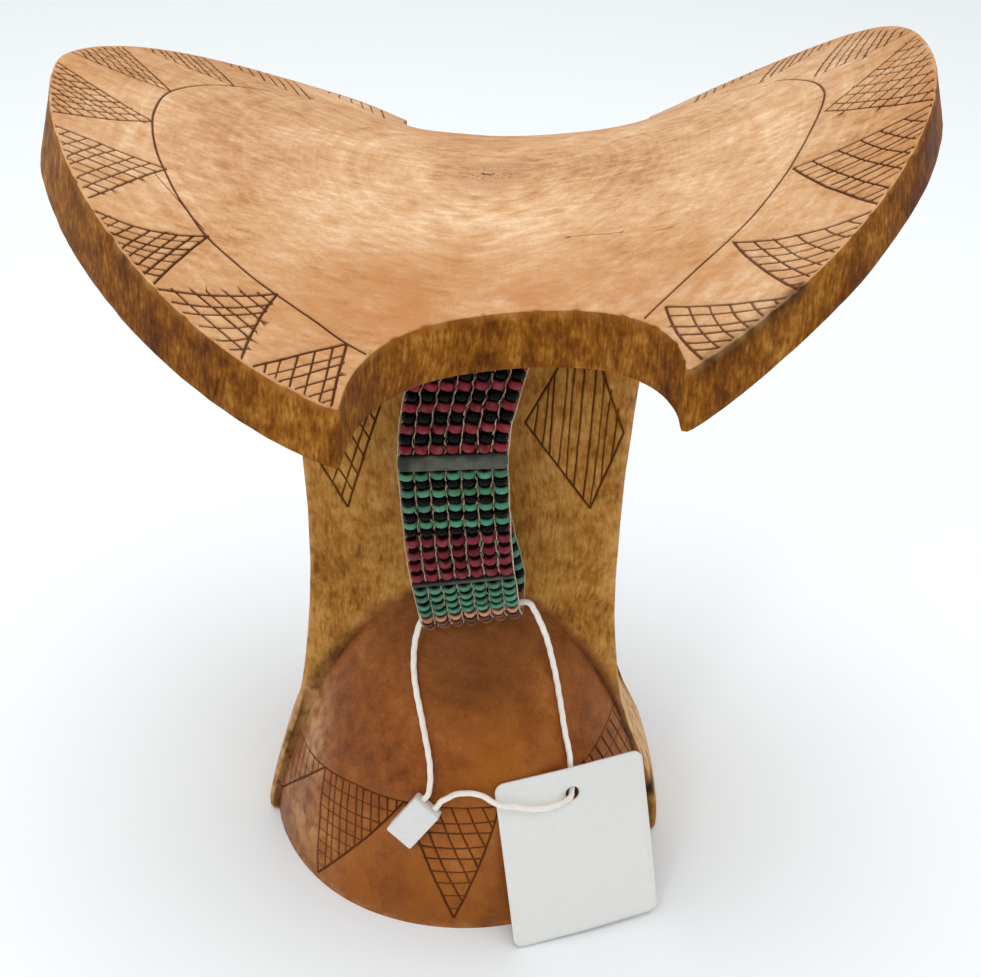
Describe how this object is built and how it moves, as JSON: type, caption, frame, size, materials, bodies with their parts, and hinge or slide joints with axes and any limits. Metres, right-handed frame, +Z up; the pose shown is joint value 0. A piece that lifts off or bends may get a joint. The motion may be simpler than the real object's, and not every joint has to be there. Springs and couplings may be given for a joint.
{
  "type": "headrest stool",
  "caption": "Carved wooden headrest stool: saddle seat on a flat stem with flared feet and a domed base, incised triangles, a hanging beaded strap loop and a bare hang tag.",
  "frame": {"origin": "on the floor, under the middle of the round base, on the flat underside of the carved wood", "axes": "+Z up; +X to the right when seen from the side with the strap; -Y towards that side, so the strap and the tag are at -Y"},
  "size_m": [0.2041, 0.1646, 0.2398],
  "materials": {
    "carved_wood": "satin, oiled, light seat and reddish dome",
    "beads_red_black": "glossy opaque, dark red and black rows",
    "beads_green_black": "glossy opaque, turquoise green and black rows",
    "beads_red": "glossy opaque",
    "beads_green": "glossy opaque",
    "beads_peach_brown": "glossy opaque, peach and brown rows",
    "spacer_leather": "matte, grey-green",
    "hide": "matte, brown",
    "thread": "waxed cream thread",
    "iron_wire": "dark drawn wire",
    "string": "white twisted cotton",
    "card": "smooth white card",
    "white_plastic": "moulded, white"
  },
  "bodies": {
    "stool": {"carved_body": "carved_wood", "staple_left": "iron_wire", "staple_right": "iron_wire"},
    "strap": {"strap_thong": "hide", "strap_head": "hide", "strap_red_black_front": "beads_red_black", "strap_spacer_front": "spacer_leather", "strap_green_black_front": "beads_green_black", "strap_red_front": "beads_red", "strap_spacer_low": "spacer_leather", "strap_green_front": "beads_green", "strap_fold": "beads_peach_brown", "strap_green_black_back": "beads_green_black", "strap_red_back": "beads_red", "strap_spacer_back": "spacer_leather", "strap_red_black_back": "beads_red_black", "strap_thread_left": "thread", "strap_thread_right": "thread"},
    "tag": {"tag_cord": "string", "tag_card": "card", "tag_seal": "white_plastic", "tag_bullet": "white_plastic"}
  },
  "joints": [
    {"name": "strap_swing", "type": "hinge", "parent": "stool", "child": "strap", "pos_m": [0.0025, -0.03, 0.1795], "axis": [-1, 0, 0], "range_deg": [0, 60]},
    {"name": "tag_swing", "type": "hinge", "parent": "strap", "child": "tag", "pos_m": [0.0026, -0.0318, 0.0963], "axis": [-0.9511, 0, -0.309], "range_deg": [0, 50]}
  ]
}
